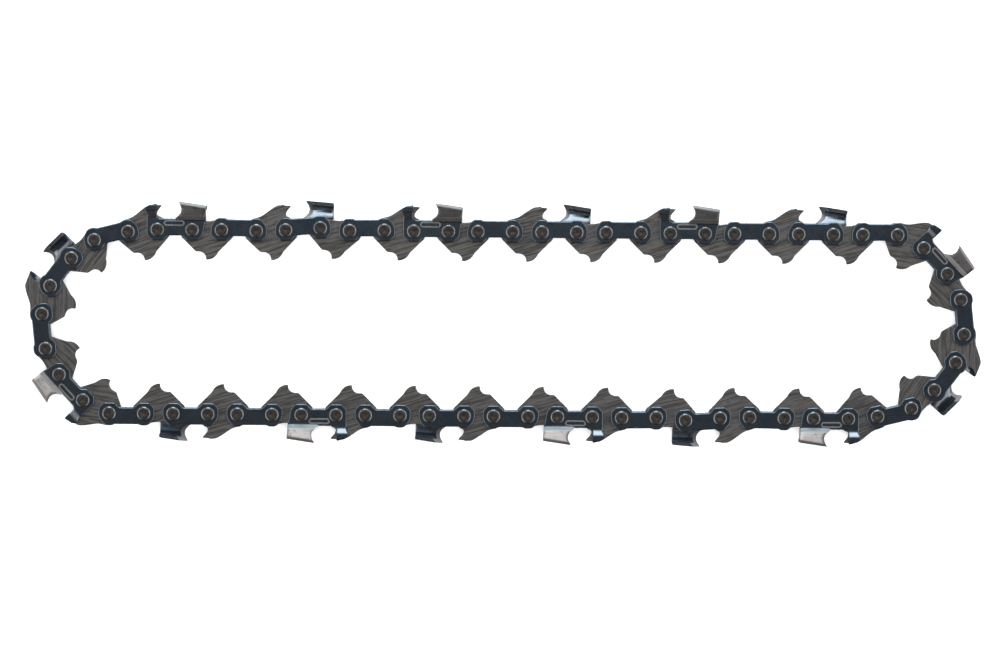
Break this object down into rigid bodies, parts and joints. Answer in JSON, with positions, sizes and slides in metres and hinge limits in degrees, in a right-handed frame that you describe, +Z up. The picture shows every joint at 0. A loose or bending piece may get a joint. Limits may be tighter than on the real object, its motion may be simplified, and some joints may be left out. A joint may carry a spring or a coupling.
{
  "type": "chainsaw chain loop",
  "caption": "Closed loop of low-profile saw chain: riveted drive links, tie straps and chromed left and right cutters, hinged at every rivet, to run round a guide bar.",
  "frame": {"origin": "centre of the loop, on the surface that the chain lies on", "axes": "+X along the two runs, +Y across them, +Z up, along the rivets"},
  "size_m": [0.2786, 0.071, 0.007],
  "materials": {
    "link_steel": "bare blanked steel with grinding marks",
    "black_plate": "blued black oxide, oiled",
    "cutter": "blued flat with a hard chrome plated tooth"
  },
  "bodies": {
    "bumper_link_01": {"bumper_link_01": "link_steel"},
    "bumper_link_03": {"bumper_link_03": "link_steel"},
    "bumper_link_05": {"bumper_link_05": "link_steel"},
    "bumper_link_09": {"bumper_link_09": "link_steel"},
    "bumper_link_11": {"bumper_link_11": "link_steel"},
    "bumper_link_13": {"bumper_link_13": "link_steel"},
    "bumper_link_15": {"bumper_link_15": "link_steel"},
    "bumper_link_17": {"bumper_link_17": "link_steel"},
    "bumper_link_19": {"bumper_link_19": "link_steel"},
    "bumper_link_21": {"bumper_link_21": "link_steel"},
    "bumper_link_25": {"bumper_link_25": "link_steel"},
    "bumper_link_27": {"bumper_link_27": "link_steel"},
    "bumper_link_29": {"bumper_link_29": "link_steel"},
    "bumper_link_31": {"bumper_link_31": "link_steel"},
    "drive_link_02": {"drive_link_02": "link_steel"},
    "drive_link_04": {"drive_link_04": "link_steel"},
    "drive_link_08": {"drive_link_08": "link_steel"},
    "drive_link_10": {"drive_link_10": "link_steel"},
    "drive_link_12": {"drive_link_12": "link_steel"},
    "drive_link_14": {"drive_link_14": "link_steel"},
    "drive_link_16": {"drive_link_16": "link_steel"},
    "drive_link_18": {"drive_link_18": "link_steel"},
    "drive_link_20": {"drive_link_20": "link_steel"},
    "drive_link_24": {"drive_link_24": "link_steel"},
    "drive_link_26": {"drive_link_26": "link_steel"},
    "drive_link_28": {"drive_link_28": "link_steel"},
    "drive_link_30": {"drive_link_30": "link_steel"},
    "drive_link_32": {"drive_link_32": "link_steel"},
    "joined_links_07": {"joined_links_07": "black_plate"},
    "joined_links_23": {"joined_links_23": "black_plate"},
    "left_cutter_02": {"left_cutter_02": "cutter"},
    "left_cutter_06": {"left_cutter_06": "cutter"},
    "left_cutter_10": {"left_cutter_10": "cutter"},
    "left_cutter_14": {"left_cutter_14": "cutter"},
    "left_cutter_18": {"left_cutter_18": "cutter"},
    "left_cutter_22": {"left_cutter_22": "cutter"},
    "left_cutter_26": {"left_cutter_26": "cutter"},
    "left_cutter_30": {"left_cutter_30": "cutter"},
    "right_cutter_04": {"right_cutter_04": "cutter"},
    "right_cutter_08": {"right_cutter_08": "cutter"},
    "right_cutter_12": {"right_cutter_12": "cutter"},
    "right_cutter_16": {"right_cutter_16": "cutter"},
    "right_cutter_20": {"right_cutter_20": "cutter"},
    "right_cutter_24": {"right_cutter_24": "cutter"},
    "right_cutter_28": {"right_cutter_28": "cutter"},
    "right_cutter_32": {"right_cutter_32": "cutter"},
    "tie_straps_01": {"tie_straps_01": "black_plate"},
    "tie_straps_03": {"tie_straps_03": "black_plate"},
    "tie_straps_05": {"tie_straps_05": "black_plate"},
    "tie_straps_09": {"tie_straps_09": "black_plate"},
    "tie_straps_11": {"tie_straps_11": "black_plate"},
    "tie_straps_13": {"tie_straps_13": "black_plate"},
    "tie_straps_15": {"tie_straps_15": "black_plate"},
    "tie_straps_17": {"tie_straps_17": "black_plate"},
    "tie_straps_19": {"tie_straps_19": "black_plate"},
    "tie_straps_21": {"tie_straps_21": "black_plate"},
    "tie_straps_25": {"tie_straps_25": "black_plate"},
    "tie_straps_27": {"tie_straps_27": "black_plate"},
    "tie_straps_29": {"tie_straps_29": "black_plate"},
    "tie_straps_31": {"tie_straps_31": "black_plate"}
  },
  "joints": [
    {"name": "pivot_08a", "type": "hinge", "parent": "joined_links_07", "child": "right_cutter_08", "pos_m": [0.0111, 0.02683, 0.0035], "axis": [0, 0, -1], "range_deg": [-15, 15]},
    {"name": "pivot_08b", "type": "hinge", "parent": "right_cutter_08", "child": "drive_link_08", "pos_m": [0.02122, 0.02683, 0.0035], "axis": [0, 0, -1], "range_deg": [-15, 15]},
    {"name": "pivot_09a", "type": "hinge", "parent": "drive_link_08", "child": "tie_straps_09", "pos_m": [0.02974, 0.02683, 0.0035], "axis": [0, 0, -1], "range_deg": [-15, 15]},
    {"name": "pivot_09b", "type": "hinge", "parent": "tie_straps_09", "child": "bumper_link_09", "pos_m": [0.03986, 0.02683, 0.0035], "axis": [0, 0, -1], "range_deg": [-15, 15]},
    {"name": "pivot_10a", "type": "hinge", "parent": "bumper_link_09", "child": "left_cutter_10", "pos_m": [0.04838, 0.02683, 0.0035], "axis": [0, 0, -1], "range_deg": [-15, 15]},
    {"name": "pivot_10b", "type": "hinge", "parent": "left_cutter_10", "child": "drive_link_10", "pos_m": [0.0585, 0.02683, 0.0035], "axis": [0, 0, -1], "range_deg": [-15, 15]},
    {"name": "pivot_11a", "type": "hinge", "parent": "drive_link_10", "child": "tie_straps_11", "pos_m": [0.06702, 0.02683, 0.0035], "axis": [0, 0, -1], "range_deg": [-15, 15]},
    {"name": "pivot_11b", "type": "hinge", "parent": "tie_straps_11", "child": "bumper_link_11", "pos_m": [0.07714, 0.02683, 0.0035], "axis": [0, 0, -1], "range_deg": [-15, 15]},
    {"name": "pivot_12a", "type": "hinge", "parent": "bumper_link_11", "child": "right_cutter_12", "pos_m": [0.08566, 0.02683, 0.0035], "axis": [0, 0, -1], "range_deg": [-15, 15]},
    {"name": "pivot_12b", "type": "hinge", "parent": "right_cutter_12", "child": "drive_link_12", "pos_m": [0.09578, 0.02683, 0.0035], "axis": [0, 0, -1], "range_deg": [-15, 15]},
    {"name": "pivot_13a", "type": "hinge", "parent": "drive_link_12", "child": "tie_straps_13", "pos_m": [0.1043, 0.02683, 0.0035], "axis": [0, 0, -1], "range_deg": [-15, 41]},
    {"name": "pivot_13b", "type": "hinge", "parent": "tie_straps_13", "child": "bumper_link_13", "pos_m": [0.11442, 0.02683, 0.0035], "axis": [0, 0, -1], "range_deg": [-41, 15]},
    {"name": "pivot_14a", "type": "hinge", "parent": "bumper_link_13", "child": "left_cutter_14", "pos_m": [0.12208, 0.0231, 0.0035], "axis": [0, 0, -1], "range_deg": [-30, 24]},
    {"name": "pivot_14b", "type": "hinge", "parent": "left_cutter_14", "child": "drive_link_14", "pos_m": [0.12898, 0.01569, 0.0035], "axis": [0, 0, -1], "range_deg": [-24, 30]},
    {"name": "pivot_15a", "type": "hinge", "parent": "drive_link_14", "child": "tie_straps_15", "pos_m": [0.13298, 0.00817, 0.0035], "axis": [0, 0, -1], "range_deg": [-23, 23]},
    {"name": "pivot_15b", "type": "hinge", "parent": "tie_straps_15", "child": "bumper_link_15", "pos_m": [0.13404, -0.00189, 0.0035], "axis": [0, 0, -1], "range_deg": [-23, 23]},
    {"name": "pivot_16a", "type": "hinge", "parent": "bumper_link_15", "child": "right_cutter_16", "pos_m": [0.13169, -0.01008, 0.0035], "axis": [0, 0, -1], "range_deg": [-31, 24]},
    {"name": "pivot_16b", "type": "hinge", "parent": "right_cutter_16", "child": "drive_link_16", "pos_m": [0.1256, -0.01817, 0.0035], "axis": [0, 0, -1], "range_deg": [-24, 31]},
    {"name": "pivot_17a", "type": "hinge", "parent": "drive_link_16", "child": "tie_straps_17", "pos_m": [0.11898, -0.02353, 0.0035], "axis": [0, 0, -1], "range_deg": [-36, 20]},
    {"name": "pivot_17b", "type": "hinge", "parent": "tie_straps_17", "child": "bumper_link_17", "pos_m": [0.10916, -0.02598, 0.0035], "axis": [0, 0, -1], "range_deg": [-20, 36]},
    {"name": "pivot_18a", "type": "hinge", "parent": "bumper_link_17", "child": "left_cutter_18", "pos_m": [0.10067, -0.02672, 0.0035], "axis": [0, 0, -1], "range_deg": [-20, 15]},
    {"name": "pivot_18b", "type": "hinge", "parent": "left_cutter_18", "child": "drive_link_18", "pos_m": [0.09055, -0.02672, 0.0035], "axis": [0, 0, -1], "range_deg": [-15, 20]},
    {"name": "pivot_19a", "type": "hinge", "parent": "drive_link_18", "child": "tie_straps_19", "pos_m": [0.08203, -0.02672, 0.0035], "axis": [0, 0, -1], "range_deg": [-16, 12]},
    {"name": "pivot_19b", "type": "hinge", "parent": "tie_straps_19", "child": "bumper_link_19", "pos_m": [0.07191, -0.02654, 0.0035], "axis": [0, 0, -1], "range_deg": [-12, 16]},
    {"name": "pivot_20a", "type": "hinge", "parent": "bumper_link_19", "child": "right_cutter_20", "pos_m": [0.0634, -0.02684, 0.0035], "axis": [0, 0, -1], "range_deg": [-13, 24]},
    {"name": "pivot_20b", "type": "hinge", "parent": "right_cutter_20", "child": "drive_link_20", "pos_m": [0.0533, -0.02754, 0.0035], "axis": [0, 0, -1], "range_deg": [-24, 13]},
    {"name": "pivot_21a", "type": "hinge", "parent": "drive_link_20", "child": "tie_straps_21", "pos_m": [0.04482, -0.0268, 0.0035], "axis": [0, 0, -1], "range_deg": [-9, 17]},
    {"name": "pivot_21b", "type": "hinge", "parent": "tie_straps_21", "child": "bumper_link_21", "pos_m": [0.0347, -0.02698, 0.0035], "axis": [0, 0, -1], "range_deg": [-17, 9]},
    {"name": "pivot_22a", "type": "hinge", "parent": "bumper_link_21", "child": "left_cutter_22", "pos_m": [0.02618, -0.02683, 0.0035], "axis": [0, 0, -1], "range_deg": [-14, 15]},
    {"name": "pivot_22b", "type": "hinge", "parent": "left_cutter_22", "child": "joined_links_23", "pos_m": [0.01606, -0.02683, 0.0035], "axis": [0, 0, -1], "range_deg": [-15, 14]},
    {"name": "pivot_06b", "type": "hinge", "parent": "joined_links_07", "child": "left_cutter_06", "pos_m": [-0.01606, 0.02683, 0.0035], "axis": [0, 0, -1], "range_deg": [-14, 15]},
    {"name": "pivot_06a", "type": "hinge", "parent": "left_cutter_06", "child": "bumper_link_05", "pos_m": [-0.02618, 0.02683, 0.0035], "axis": [0, 0, -1], "range_deg": [-15, 14]},
    {"name": "pivot_05b", "type": "hinge", "parent": "bumper_link_05", "child": "tie_straps_05", "pos_m": [-0.0347, 0.02698, 0.0035], "axis": [0, 0, -1], "range_deg": [-9, 17]},
    {"name": "pivot_05a", "type": "hinge", "parent": "tie_straps_05", "child": "drive_link_04", "pos_m": [-0.04482, 0.0268, 0.0035], "axis": [0, 0, -1], "range_deg": [-17, 9]},
    {"name": "pivot_04b", "type": "hinge", "parent": "drive_link_04", "child": "right_cutter_04", "pos_m": [-0.0533, 0.02754, 0.0035], "axis": [0, 0, -1], "range_deg": [-13, 24]},
    {"name": "pivot_04a", "type": "hinge", "parent": "right_cutter_04", "child": "bumper_link_03", "pos_m": [-0.0634, 0.02684, 0.0035], "axis": [0, 0, -1], "range_deg": [-24, 13]},
    {"name": "pivot_03b", "type": "hinge", "parent": "bumper_link_03", "child": "tie_straps_03", "pos_m": [-0.07191, 0.02654, 0.0035], "axis": [0, 0, -1], "range_deg": [-16, 12]},
    {"name": "pivot_03a", "type": "hinge", "parent": "tie_straps_03", "child": "drive_link_02", "pos_m": [-0.08203, 0.02672, 0.0035], "axis": [0, 0, -1], "range_deg": [-12, 16]},
    {"name": "pivot_02b", "type": "hinge", "parent": "drive_link_02", "child": "left_cutter_02", "pos_m": [-0.09055, 0.02672, 0.0035], "axis": [0, 0, -1], "range_deg": [-20, 15]},
    {"name": "pivot_02a", "type": "hinge", "parent": "left_cutter_02", "child": "bumper_link_01", "pos_m": [-0.10067, 0.02672, 0.0035], "axis": [0, 0, -1], "range_deg": [-15, 20]},
    {"name": "pivot_01b", "type": "hinge", "parent": "bumper_link_01", "child": "tie_straps_01", "pos_m": [-0.10916, 0.02598, 0.0035], "axis": [0, 0, -1], "range_deg": [-36, 20]},
    {"name": "pivot_01a", "type": "hinge", "parent": "tie_straps_01", "child": "drive_link_32", "pos_m": [-0.11898, 0.02353, 0.0035], "axis": [0, 0, -1], "range_deg": [-20, 36]},
    {"name": "pivot_32b", "type": "hinge", "parent": "drive_link_32", "child": "right_cutter_32", "pos_m": [-0.1256, 0.01817, 0.0035], "axis": [0, 0, -1], "range_deg": [-31, 24]},
    {"name": "pivot_32a", "type": "hinge", "parent": "right_cutter_32", "child": "bumper_link_31", "pos_m": [-0.13169, 0.01008, 0.0035], "axis": [0, 0, -1], "range_deg": [-24, 31]},
    {"name": "pivot_31b", "type": "hinge", "parent": "bumper_link_31", "child": "tie_straps_31", "pos_m": [-0.13404, 0.00189, 0.0035], "axis": [0, 0, -1], "range_deg": [-23, 23]},
    {"name": "pivot_31a", "type": "hinge", "parent": "tie_straps_31", "child": "drive_link_30", "pos_m": [-0.13298, -0.00817, 0.0035], "axis": [0, 0, -1], "range_deg": [-23, 23]},
    {"name": "pivot_30b", "type": "hinge", "parent": "drive_link_30", "child": "left_cutter_30", "pos_m": [-0.12898, -0.01569, 0.0035], "axis": [0, 0, -1], "range_deg": [-30, 24]},
    {"name": "pivot_30a", "type": "hinge", "parent": "left_cutter_30", "child": "bumper_link_29", "pos_m": [-0.12208, -0.0231, 0.0035], "axis": [0, 0, -1], "range_deg": [-24, 30]},
    {"name": "pivot_29b", "type": "hinge", "parent": "bumper_link_29", "child": "tie_straps_29", "pos_m": [-0.11442, -0.02683, 0.0035], "axis": [0, 0, -1], "range_deg": [-15, 41]},
    {"name": "pivot_29a", "type": "hinge", "parent": "tie_straps_29", "child": "drive_link_28", "pos_m": [-0.1043, -0.02683, 0.0035], "axis": [0, 0, -1], "range_deg": [-41, 15]},
    {"name": "pivot_28b", "type": "hinge", "parent": "drive_link_28", "child": "right_cutter_28", "pos_m": [-0.09578, -0.02683, 0.0035], "axis": [0, 0, -1], "range_deg": [-15, 15]},
    {"name": "pivot_28a", "type": "hinge", "parent": "right_cutter_28", "child": "bumper_link_27", "pos_m": [-0.08566, -0.02683, 0.0035], "axis": [0, 0, -1], "range_deg": [-15, 15]},
    {"name": "pivot_27b", "type": "hinge", "parent": "bumper_link_27", "child": "tie_straps_27", "pos_m": [-0.07714, -0.02683, 0.0035], "axis": [0, 0, -1], "range_deg": [-15, 15]},
    {"name": "pivot_27a", "type": "hinge", "parent": "tie_straps_27", "child": "drive_link_26", "pos_m": [-0.06702, -0.02683, 0.0035], "axis": [0, 0, -1], "range_deg": [-15, 15]},
    {"name": "pivot_26b", "type": "hinge", "parent": "drive_link_26", "child": "left_cutter_26", "pos_m": [-0.0585, -0.02683, 0.0035], "axis": [0, 0, -1], "range_deg": [-15, 15]},
    {"name": "pivot_26a", "type": "hinge", "parent": "left_cutter_26", "child": "bumper_link_25", "pos_m": [-0.04838, -0.02683, 0.0035], "axis": [0, 0, -1], "range_deg": [-15, 15]},
    {"name": "pivot_25b", "type": "hinge", "parent": "bumper_link_25", "child": "tie_straps_25", "pos_m": [-0.03986, -0.02683, 0.0035], "axis": [0, 0, -1], "range_deg": [-15, 15]},
    {"name": "pivot_25a", "type": "hinge", "parent": "tie_straps_25", "child": "drive_link_24", "pos_m": [-0.02974, -0.02683, 0.0035], "axis": [0, 0, -1], "range_deg": [-15, 15]},
    {"name": "pivot_24b", "type": "hinge", "parent": "drive_link_24", "child": "right_cutter_24", "pos_m": [-0.02122, -0.02683, 0.0035], "axis": [0, 0, -1], "range_deg": [-15, 15]}
  ],
  "couplings": [
    {"joint": "pivot_01a", "follows": "pivot_01b", "ratio": -1},
    {"joint": "pivot_17a", "follows": "pivot_01b", "ratio": 1},
    {"joint": "pivot_17b", "follows": "pivot_01b", "ratio": -1},
    {"joint": "pivot_02a", "follows": "pivot_02b", "ratio": -1},
    {"joint": "pivot_18a", "follows": "pivot_02b", "ratio": 1},
    {"joint": "pivot_18b", "follows": "pivot_02b", "ratio": -1},
    {"joint": "pivot_03a", "follows": "pivot_03b", "ratio": -1},
    {"joint": "pivot_19a", "follows": "pivot_03b", "ratio": 1},
    {"joint": "pivot_19b", "follows": "pivot_03b", "ratio": -1},
    {"joint": "pivot_04a", "follows": "pivot_04b", "ratio": -1},
    {"joint": "pivot_20a", "follows": "pivot_04b", "ratio": 1},
    {"joint": "pivot_20b", "follows": "pivot_04b", "ratio": -1},
    {"joint": "pivot_05a", "follows": "pivot_05b", "ratio": -1},
    {"joint": "pivot_21a", "follows": "pivot_05b", "ratio": 1},
    {"joint": "pivot_21b", "follows": "pivot_05b", "ratio": -1},
    {"joint": "pivot_06a", "follows": "pivot_06b", "ratio": -1},
    {"joint": "pivot_22a", "follows": "pivot_06b", "ratio": 1},
    {"joint": "pivot_22b", "follows": "pivot_06b", "ratio": -1},
    {"joint": "pivot_08b", "follows": "pivot_08a", "ratio": -1},
    {"joint": "pivot_24b", "follows": "pivot_08a", "ratio": 1},
    {"joint": "pivot_09b", "follows": "pivot_09a", "ratio": -1},
    {"joint": "pivot_25b", "follows": "pivot_09a", "ratio": 1},
    {"joint": "pivot_25a", "follows": "pivot_09a", "ratio": -1},
    {"joint": "pivot_10b", "follows": "pivot_10a", "ratio": -1},
    {"joint": "pivot_26b", "follows": "pivot_10a", "ratio": 1},
    {"joint": "pivot_26a", "follows": "pivot_10a", "ratio": -1},
    {"joint": "pivot_11b", "follows": "pivot_11a", "ratio": -1},
    {"joint": "pivot_27b", "follows": "pivot_11a", "ratio": 1},
    {"joint": "pivot_27a", "follows": "pivot_11a", "ratio": -1},
    {"joint": "pivot_12b", "follows": "pivot_12a", "ratio": -1},
    {"joint": "pivot_28b", "follows": "pivot_12a", "ratio": 1},
    {"joint": "pivot_28a", "follows": "pivot_12a", "ratio": -1},
    {"joint": "pivot_13b", "follows": "pivot_13a", "ratio": -1},
    {"joint": "pivot_29b", "follows": "pivot_13a", "ratio": 1},
    {"joint": "pivot_29a", "follows": "pivot_13a", "ratio": -1},
    {"joint": "pivot_14b", "follows": "pivot_14a", "ratio": -1},
    {"joint": "pivot_30b", "follows": "pivot_14a", "ratio": 1},
    {"joint": "pivot_30a", "follows": "pivot_14a", "ratio": -1},
    {"joint": "pivot_15b", "follows": "pivot_15a", "ratio": -1},
    {"joint": "pivot_31b", "follows": "pivot_15a", "ratio": 1},
    {"joint": "pivot_31a", "follows": "pivot_15a", "ratio": -1},
    {"joint": "pivot_16b", "follows": "pivot_16a", "ratio": -1},
    {"joint": "pivot_32b", "follows": "pivot_16a", "ratio": 1},
    {"joint": "pivot_32a", "follows": "pivot_16a", "ratio": -1}
  ]
}
